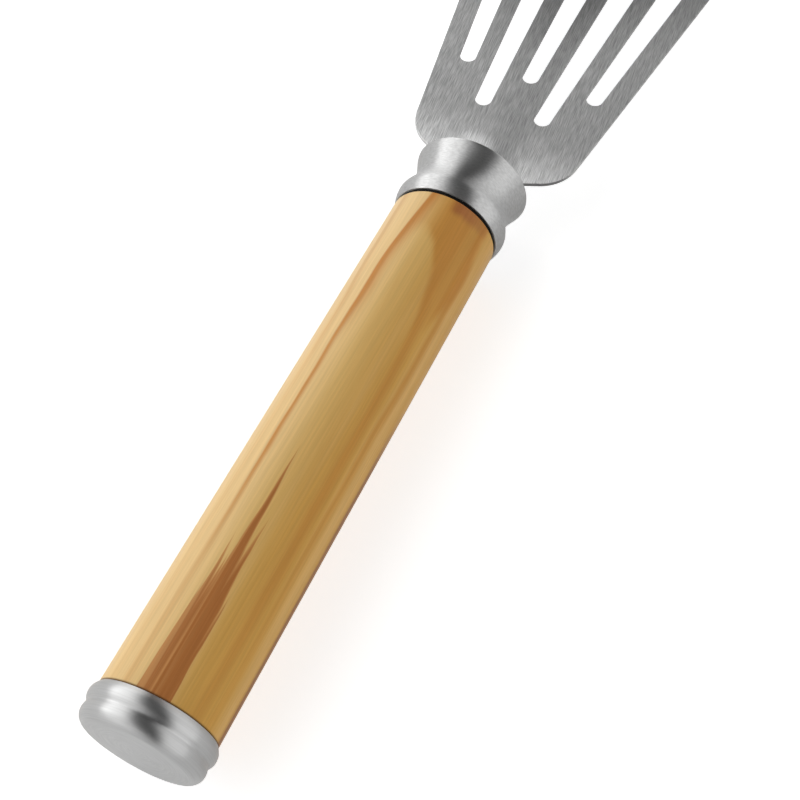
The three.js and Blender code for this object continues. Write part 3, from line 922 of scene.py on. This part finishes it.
ferrule_profile = [(0, socket_floor), (socket_radius, socket_floor)]
ferrule_profile += [(socket_radius, ferrule_rear), (rear_radius, ferrule_rear)]
ferrule_profile += curve(
    (rear_radius, ferrule_rear),
    (rear_radius + BEAD_HEIGHT / 2, ferrule_rear + BEAD_SETBACK / 3),
    (bead_radius, bead - BEAD_SETBACK / 3), (bead_radius, bead))
ferrule_profile += curve(
    (bead_radius, bead), (bead_radius, bead + fall / 4),
    (neck_radius, neck - fall / 2), (neck_radius, neck))
ferrule_profile += curve(
    (neck_radius, neck), (neck_radius, neck + rise / 3),
    (flare_pull, rim - rise / 3), (rim_radius, rim))[:-1]
ferrule_profile += eased(ferrule_profile[-1], (rim_radius, ferrule_front), (0, ferrule_front),
                         RIM_EDGE)
ferrule_profile += [(0, ferrule_front)]
steel_ferrule = turned("turned_ferrule", ferrule_profile, ferrule_steel)

# %% [markdown]
# The blade's tang goes through a flat slot in the ferrule's front wall. A slot isn't round, so no
# profile can hold it. A Boolean modifier takes a thin block away from the turned piece, and the
# result is then made a plain mesh, so that nothing of the block is left in the scene.

# %% Slot for the tang
TANG_WIDTH = 8.0 * MM
SHEET = 1.0 * MM
SLOT_PLAY = 0.06 * MM


def made_plain(piece):
    """Turns a piece with its modifiers into a plain mesh and takes the modifiers off."""
    ready = piece.evaluated_get(bpy.context.evaluated_depsgraph_get())
    old, piece.data = piece.data, bpy.data.meshes.new_from_object(ready)
    piece.modifiers.clear()
    piece.data.name = piece.name
    bpy.data.meshes.remove(old)


def discard(helper):
    """Takes a helper object and its mesh out of the file."""
    mesh = helper.data
    bpy.data.objects.remove(helper)
    bpy.data.meshes.remove(mesh)


block_size = (TANG_WIDTH + 2 * SLOT_PLAY, 3 * FRONT_WALL, SHEET + 2 * SLOT_PLAY, 1)
block_place = Matrix.Translation((0, ferrule_front, axis_height))
block = bmesh.new()
bmesh.ops.create_cube(block, size=1.0, matrix=block_place @ Matrix.Diagonal(block_size))
cutter_mesh = bpy.data.meshes.new("slot_cutter")
block.to_mesh(cutter_mesh)
block.free()
cutter = placed("slot_cutter", cutter_mesh)
slot_cut = steel_ferrule.modifiers.new("tang_slot", "BOOLEAN")
slot_cut.operation = "DIFFERENCE"
slot_cut.object = cutter
slot_cut.solver = "EXACT"
made_plain(steel_ferrule)
discard(cutter)
print("ferrule slotted:", len(steel_ferrule.data.polygons), "faces")

# %% [markdown]
# ## End cap
# The cap closes the butt with two beads, a groove between them and a soft edge into a flat end
# face. It is turned like the ferrule, and the end face gets the satin steel as a second finish.
# The joint with the wood is two broken edges that meet in a thin dark line, which painted shade on
# the wood deepens. Behind the joint a spigot with a blind hole for the rod goes into the wood.

# %% End cap
CAP_EDGE_HEIGHT = 0.1 * MM
CAP_BEAD_SETBACK = 2.0 * MM
CAP_GROOVE_HEIGHT = 0.22 * MM
CAP_GROOVE_SETBACK = 3.9 * MM
CAP_GROOVE_PULL = 0.35 * MM
CAP_ROUND_HEIGHT = 0.42 * MM
CAP_ROUND_RADIUS = 2.3 * MM
CAP_HOLE_PLAY = 0.15 * MM
CAP_BUTT_WALL = 4.0 * MM
CIRCLE_PULL = 0.5523
END_FACE_DEPTH = 0.01 * MM

cap_edge = grip_radius + CAP_EDGE_HEIGHT
cap_bead_radius = cap_high.x
cap_bead = grip_rear - CAP_BEAD_SETBACK
groove_radius = grip_radius + CAP_GROOVE_HEIGHT
groove = grip_rear - CAP_GROOVE_SETBACK
round_radius = grip_radius + CAP_ROUND_HEIGHT
round_start = butt + CAP_ROUND_RADIUS
flat_radius = round_radius - CAP_ROUND_RADIUS
bead_step = cap_bead - groove
hole_radius = rod_high.x + CAP_HOLE_PLAY
hole_floor = butt + CAP_BUTT_WALL

cap_profile = [(0, butt), (flat_radius, butt)]
cap_profile += curve(
    (flat_radius, butt), (flat_radius + CAP_ROUND_RADIUS * CIRCLE_PULL, butt),
    (round_radius, round_start - CAP_ROUND_RADIUS * CIRCLE_PULL), (round_radius, round_start))
cap_profile += curve(
    (round_radius, round_start), (round_radius, (round_start + groove) / 2),
    (groove_radius, groove - CAP_GROOVE_PULL), (groove_radius, groove))
cap_profile += curve(
    (groove_radius, groove), (groove_radius, groove + CAP_GROOVE_PULL),
    (cap_bead_radius, cap_bead - bead_step / 2), (cap_bead_radius, cap_bead))
cap_profile += curve(
    (cap_bead_radius, cap_bead), (cap_bead_radius, cap_bead + CAP_BEAD_SETBACK / 2),
    (cap_edge + BEAD_HEIGHT / 2, grip_rear - CAP_BEAD_SETBACK / 3), (cap_edge, grip_rear))
cap_profile += [
    (SPIGOT_RADIUS, grip_rear), (SPIGOT_RADIUS, spigot_front), (hole_radius, spigot_front),
    (hole_radius, hole_floor), (0, hole_floor),
]
steel_cap = turned("turned_end_cap", cap_profile, cap_steel)
steel_cap.data.materials.append(end_steel)
for face in steel_cap.data.polygons:
    if face.center.y < butt + END_FACE_DEPTH:
        face.material_index = 1

# %% [markdown]
# ## Blade
# The blade is cut from sheet steel: bent strip first, then the outline and five slots cut
# straight down through it. The slots follow one rule. They fan out evenly across the blade,
# widen towards the front, have round ends, and every second one starts further back. Drawing
# five loops by hand would hide that rule. A Geometry Nodes tree holds it, with an input for each
# size. The outline's corners come in as a loop of points that each carry a radius, and the
# Fillet Curve node rounds them. The front arch stops just short of meeting itself in one point.

# %% Blade: outline corners
NECK_WIDTH = 18.0 * MM
NECK_LENGTH = 3.6 * MM
SHOULDER_WIDTH = 39.3 * MM
SHOULDER_ANGLE = math.radians(23.5)
BLADE_LENGTH = 138.4 * MM
FRONT_WIDTH = 79.4 * MM
FRONT_ANGLE = math.radians(4)
FRONT_ARCH_SHARE = 0.98
TANG_CORNER = 1.5 * MM
NECK_FILLET = 1.2 * MM
SHOULDER_RADIUS = 10.5 * MM
FRONT_RADIUS = 10.0 * MM

blade_front = blade_high.y
neck_end = ferrule_front + NECK_LENGTH
shoulder = neck_end + (SHOULDER_WIDTH - NECK_WIDTH) / 2 * math.tan(SHOULDER_ANGLE)
front_corner = ferrule_front + BLADE_LENGTH
arch_half = FRONT_WIDTH / 2 - (blade_front - front_corner) / math.tan(FRONT_ANGLE)
arch_radius = arch_half / math.tan(FRONT_ANGLE / 2)
right_side = [
    (TANG_WIDTH / 2, blade_low.y, TANG_CORNER), (TANG_WIDTH / 2, ferrule_front, 0),
    (NECK_WIDTH / 2, ferrule_front, 0), (NECK_WIDTH / 2, neck_end, NECK_FILLET),
    (SHOULDER_WIDTH / 2, shoulder, SHOULDER_RADIUS),
    (FRONT_WIDTH / 2, front_corner, FRONT_RADIUS),
    (arch_half, blade_front, arch_radius * FRONT_ARCH_SHARE),
]
left_side = [(-x, y, radius) for x, y, radius in reversed(right_side)]
print("outline:", len(right_side + left_side), "corners")

# %% [markdown]
# The two pin holes in the tang are loops of points as well, with no radius to round. All loops go
# into one mesh of edges, and the radius of each corner goes with it as an attribute.

# %% Blade: outline with its pin holes
PIN_HOLE_STEPS = 32
PIN_PLAY = 0.15 * MM

loops = [right_side + left_side]
for pin in ("tang_pin_1", "tang_pin_2"):
    pin_low, pin_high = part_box(pin)
    hole, middle = pin_high.x + PIN_PLAY, (pin_low.y + pin_high.y) / 2
    turns = [math.tau * i / PIN_HOLE_STEPS for i in range(PIN_HOLE_STEPS)]
    loops.append([(hole * math.cos(t), middle + hole * math.sin(t), 0) for t in turns])

outline_points, outline_edges = [], []
for loop in loops:
    first, count = len(outline_points), len(loop)
    outline_edges += [(first + i, first + (i + 1) % count) for i in range(count)]
    outline_points += loop
outline_mesh = bpy.data.meshes.new("blade_outline")
outline_mesh.from_pydata([(x, y, 0) for x, y, _ in outline_points], outline_edges, [])
corner_radius = outline_mesh.attributes.new("corner_radius", "FLOAT", "POINT")
corner_radius.data.foreach_set("value", [radius for _, _, radius in outline_points])
outline = placed("blade_outline", outline_mesh)
print("outline:", len(loops) - 1, "pin holes,", len(outline_points), "points in all")

# %% [markdown]
# The strip is drawn once from the side and pushed out across the blade. It runs straight
# through the ferrule, bends up a little just in front of it, and is ground thin on its
# underside at the front edge.

# %% Blade: bent strip
BEND_SETBACK = 1.55 * MM
BEND_ANGLE = math.radians(2.6)
GROUND_LENGTH = 8.0 * MM
GROUND_EDGE = 0.35 * MM

bend = ferrule_front + BEND_SETBACK
ahead = Vector((math.cos(BEND_ANGLE), math.sin(BEND_ANGLE)))
upright = Vector((-ahead.y, ahead.x))
reach = (blade_front - bend) / ahead.x


def on_sheet(distance, lift):
    """Place and height of a point in front of the bend, measured along and off the sheet."""
    return Vector((bend, axis_height)) + ahead * distance + upright * lift


mitre = SHEET / 2 * math.tan(BEND_ANGLE / 2)
strip_side = [
    Vector((blade_low.y - SHEET, axis_height - SHEET / 2)),
    Vector((bend + mitre, axis_height - SHEET / 2)),
    on_sheet(reach - GROUND_LENGTH, -SHEET / 2),
    on_sheet(reach, SHEET / 2 - GROUND_EDGE),
    on_sheet(reach + GROUND_LENGTH, SHEET / 2 - GROUND_EDGE),
    on_sheet(reach + GROUND_LENGTH, SHEET / 2),
    Vector((bend - mitre, axis_height + SHEET / 2)),
    Vector((blade_low.y - SHEET, axis_height + SHEET / 2)),
]
count = len(strip_side)
strip_points = [(x, p.x, p.y) for x in (-FRONT_WIDTH, FRONT_WIDTH) for p in strip_side]
strip_faces = [list(range(count)), list(range(count, 2 * count))]
strip_faces += [(i, (i + 1) % count, (i + 1) % count + count, i + count) for i in range(count)]
strip_mesh = bpy.data.meshes.new("slotted_blade")
strip_mesh.from_pydata(strip_points, [], strip_faces)
outward(strip_mesh)
slotted_blade = placed("slotted_blade", strip_mesh)
print(f"strip: bent up by {math.degrees(BEND_ANGLE):.1f} degrees")

# %% [markdown]
# The tree that cuts the blade starts with its inputs: the strip, the outline, the finish and the
# sizes of the slots. A maker can change any of them on the modifier. The helpers below write its
# sums and its nodes as short words, and two of them let a point carry a value under a name.

# %% Blade: inputs of the cutting tree
cutting = bpy.data.node_groups.new("cut_slotted_blade", "GeometryNodeTree")
sockets = {}
for name, kind in (
    ("Strip", "Geometry"), ("Outline", "Object"), ("Steel", "Material"),
    ("Corner Steps", "Int"), ("Cut Height", "Float"), ("Slot Count", "Int"),
    ("Slot Steps", "Int"), ("Rear Width", "Float"), ("Taper", "Float"),
    ("Rear Place", "Float"), ("Stagger", "Float"), ("Front Place", "Float"),
    ("Rear Pitch", "Float"), ("Front Pitch", "Float"),
):
    sockets[name] = cutting.interface.new_socket(
        name, in_out="INPUT", socket_type="NodeSocket" + kind)
cutting.interface.new_socket("Blade", in_out="OUTPUT", socket_type="NodeSocketGeometry")
given = add_node(cutting, "NodeGroupInput").outputs


def geo(kind, inputs=(), **settings):
    """First output of a new node in the cutting tree."""
    return add_node(cutting, "GeometryNode" + kind, inputs, **settings).outputs[0]


def kept(geometry, name, value, kind):
    """Geometry that carries a value at each point under a name."""
    return geo("StoreNamedAttribute", {"Geometry": geometry, "Name": name, "Value": value},
               data_type=kind, domain="POINT")


def recalled(name, kind):
    """The value that each point carries under a name."""
    return geo("InputNamedAttribute", {"Name": name}, data_type=kind)


def plus(a, b):
    return calc(cutting, "ADD", a, b)


def minus(a, b):
    return calc(cutting, "SUBTRACT", a, b)


def product(a, b):
    return calc(cutting, "MULTIPLY", a, b)


def quotient(a, b):
    return calc(cutting, "DIVIDE", a, b)


print("tree:", cutting.name, "with", len(sockets), "inputs")

# %% [markdown]
# Each slot starts as a copy of one round loop that remembers its own shape and its number in
# the row. The points of its front half move to the slot's front end, the others to its rear
# end, and each half is scaled to the radius there. The straight sides appear by themselves
# between the two halves.

# %% Blade: slots
loop = geo("CurvePrimitiveCircle", {"Resolution": given["Slot Steps"], "Radius": 1.0})
loop = kept(loop, "round", geo("InputPosition"), "FLOAT_VECTOR")
row = kept(geo("MeshLine", {"Count": given["Slot Count"]}), "number", geo("InputIndex"), "FLOAT")
slots = geo("RealizeInstances",
            {"Geometry": geo("InstanceOnPoints", {"Points": row, "Instance": loop})})

number = recalled("number", "FLOAT")
round_x, round_y, _ = axes(cutting, recalled("round", "FLOAT_VECTOR"))
step = minus(number, quotient(minus(given["Slot Count"], 1.0), 2.0))
rear = minus(given["Rear Place"],
             product(given["Stagger"], calc(cutting, "MODULO", number, 2.0)))
run_y = minus(given["Front Place"], rear)
widening = quotient(minus(given["Front Pitch"], given["Rear Pitch"]),
                    minus(given["Front Place"], given["Rear Place"]))
rear_x = product(step, minus(given["Front Pitch"], product(widening, run_y)))
run_x = minus(product(step, given["Front Pitch"]), rear_x)
run = calc(cutting, "SQRT", plus(product(run_x, run_x), product(run_y, run_y)))
rear_half = quotient(given["Rear Width"], 2.0)
growth = quotient(product(given["Taper"], run_y), 2.0)
facing_front = quotient(plus(product(round_x, run_x), product(round_y, run_y)), run)
is_front = calc(cutting, "GREATER_THAN", plus(facing_front, quotient(growth, run)), 0.0)
radius = plus(rear_half, product(is_front, growth))
slot_point = add_node(cutting, "ShaderNodeCombineXYZ", {
    "X": plus(plus(rear_x, product(is_front, run_x)), product(round_x, radius)),
    "Y": plus(plus(rear, product(is_front, run_y)), product(round_y, radius)),
}).outputs[0]
slots = geo("SetPosition", {"Geometry": slots, "Position": slot_point})
print("slots: one rule for all of them")

# %% [markdown]
# Outline, pin holes and slots are filled as one flat shape, since a loop inside another becomes
# a hole. The shape is pushed up into a tall prism, closed below, and the part of the bent strip
# inside the prism is the blade.

# %% Blade: cutting prism
PRISM_MERGE = 1e-6

corners = geo("MeshToCurve", {"Mesh": add_node(
    cutting, "GeometryNodeObjectInfo", {"Object": given["Outline"]}).outputs["Geometry"]})
rounded = geo("FilletCurve", {"Curve": corners, "Count": given["Corner Steps"],
                              "Radius": recalled("corner_radius", "FLOAT")}, mode="POLY")
plan = geo("FillCurve", {"Curve": geo("JoinGeometry", {"Geometry": [rounded, slots]})},
           mode="TRIANGLES")
walls = geo("ExtrudeMesh", {"Mesh": plan, "Offset": (0, 0, 1),
                            "Offset Scale": given["Cut Height"], "Individual": False})
prism = geo("JoinGeometry", {"Geometry": [walls, geo("FlipFaces", {"Mesh": plan})]})
prism = geo("MergeByDistance", {"Geometry": prism, "Distance": PRISM_MERGE})
sheet = geo("MeshBoolean", {"Mesh 2": [given["Strip"], prism]},
            operation="INTERSECT", solver="EXACT")
finished = geo("SetMaterial", {"Geometry": geo("RealizeInstances", {"Geometry": sheet}),
                               "Material": given["Steel"]})
add_node(cutting, "NodeGroupOutput", {"Blade": finished})
print("tree:", len(cutting.nodes), "nodes")

# %% [markdown]
# The sizes go in on the modifier, each by its socket's identifier. How far apart the slots stand
# isn't typed in. It follows from the blade's width, so that a bar of the wanted width is left
# beside the outermost slot at both ends.

# %% Blade: sizes of the slots
CORNER_STEPS = 16
SLOT_STEPS = 64
SLOT_COUNT = 5
SLOT_REAR_WIDTH = 4.0 * MM
SLOT_TAPER = 0.042
SLOT_START = 33.3 * MM
SLOT_STAGGER = 11.2 * MM
SLOT_FRONT_MARGIN = 25.0 * MM
EDGE_BAR_REAR = 5.2 * MM
EDGE_BAR_FRONT = 6.2 * MM


def half_width(place):
    """Half the blade's width at a place along its straight side."""
    share = (place - shoulder) / (front_corner - shoulder)
    return (SHOULDER_WIDTH + (FRONT_WIDTH - SHOULDER_WIDTH) * share) / 2


outermost = (SLOT_COUNT - 1) / 2
slot_rear = ferrule_front + SLOT_START + SLOT_REAR_WIDTH / 2
slot_run = blade_front - SLOT_FRONT_MARGIN - slot_rear
front_half = (SLOT_REAR_WIDTH + SLOT_TAPER * slot_run) / 2
slot_front = slot_rear + slot_run - front_half
blade_cut = slotted_blade.modifiers.new("cutting", "NODES")
blade_cut.node_group = cutting
for name, value in {
    "Outline": outline, "Steel": blade_steel, "Corner Steps": CORNER_STEPS,
    "Cut Height": 2 * blade_high.z, "Slot Count": SLOT_COUNT, "Slot Steps": SLOT_STEPS,
    "Rear Width": SLOT_REAR_WIDTH, "Taper": SLOT_TAPER, "Rear Place": slot_rear,
    "Stagger": SLOT_STAGGER, "Front Place": slot_front,
    "Rear Pitch": (half_width(slot_rear) - EDGE_BAR_REAR - SLOT_REAR_WIDTH / 2) / outermost,
    "Front Pitch": (half_width(slot_front) - EDGE_BAR_FRONT - front_half) / outermost,
}.items():
    blade_cut[sockets[name].identifier] = value
print(f"slots: {SLOT_COUNT}, the middle one {(slot_front - slot_rear) / MM:.1f} mm between centres")

# %% [markdown]
# A grinding belt breaks every sharp edge of the sheet by a hair. A Bevel modifier does the same,
# and without it the edges would catch no light. Then the blade becomes a plain mesh, because
# nothing that follows may depend on a live modifier.

# %% Blade: broken edges
BROKEN_EDGE = 0.15 * MM
BROKEN_EDGE_STEPS = 2
BROKEN_FROM_ANGLE = math.radians(30)

belt = slotted_blade.modifiers.new("broken_edges", "BEVEL")
belt.width = BROKEN_EDGE
belt.segments = BROKEN_EDGE_STEPS
belt.limit_method = "ANGLE"
belt.angle_limit = BROKEN_FROM_ANGLE
belt.use_clamp_overlap = False
made_plain(slotted_blade)
discard(outline)
blade_mesh = slotted_blade.data
print(f"{slotted_blade.name}: {len(blade_mesh.polygons)} faces")

# %% [markdown]
# The brush marks run along the blade, so its UV map is the plan seen from above, with U across
# and V along. The height is added to both, because from above a cut face is only a line and the
# marks would smear on it. The cut faces with painted shade are the upright ones that face the
# rear and don't turn away to the left. Soft limits on a face's direction fade the number out
# round corners.

# %% Blade: UV map and cut faces with painted shade
FACING_REAR = (0.2, 0.7)
FACING_RIGHT = (-0.4, 0.1)
FACING_UP = (0.8, 0.6)

uv = blade_mesh.uv_layers.new(name="UVMap")
for loop, place in zip(blade_mesh.loops, uv.data):
    x, y, z = blade_mesh.vertices[loop.vertex_index].co
    place.uv = (x + 2 * z, y + z)


def soft_share(value, start, end):
    """0 before start, 1 past end, smooth between them: soft_step for a plain number."""
    share = min(max((value - start) / (end - start), 0.0), 1.0)
    return share * share * (3 - 2 * share)


# Share of painted shade on each face, stored for the blade's steel.
cut_shade_values = blade_mesh.attributes.new("dull_cut", "FLOAT", "FACE")
for face, place in zip(blade_mesh.polygons, cut_shade_values.data):
    at_rear = soft_share(-face.normal.y, *FACING_REAR)
    at_right = soft_share(face.normal.x, *FACING_RIGHT)
    is_cut = soft_share(abs(face.normal.z), *FACING_UP)
    place.value = at_rear * at_right * is_cut
print("dull faces:", sum(place.value > 0 for place in cut_shade_values.data))

# %% [markdown]
# ## Hidden parts and the tool's body
# The tie rod and its pins are inside the handle. Their measured meshes stay and only get a
# finish. Each new piece stands for the measured one and rides on the tool's one body.

# %% Hidden parts and the tool's body
for hidden in ("tie_rod", "tang_pin_1", "tang_pin_2"):
    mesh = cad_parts[hidden].data
    mesh.materials.clear()
    mesh.materials.append(core_steel)

for piece, node, finish in (
    (slotted_blade, "blade", "blade_steel"),
    (steel_ferrule, "ferrule", "turned_steel"),
    (rubber_ring, "seal_ring", "seal_rubber"),
    (wooden_grip, "wood_grip", "grip_wood"),
    (steel_cap, "end_cap", "turned_steel"),
):
    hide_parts(node)
    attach(piece, "root")

scene.view_settings.view_transform = "Standard"
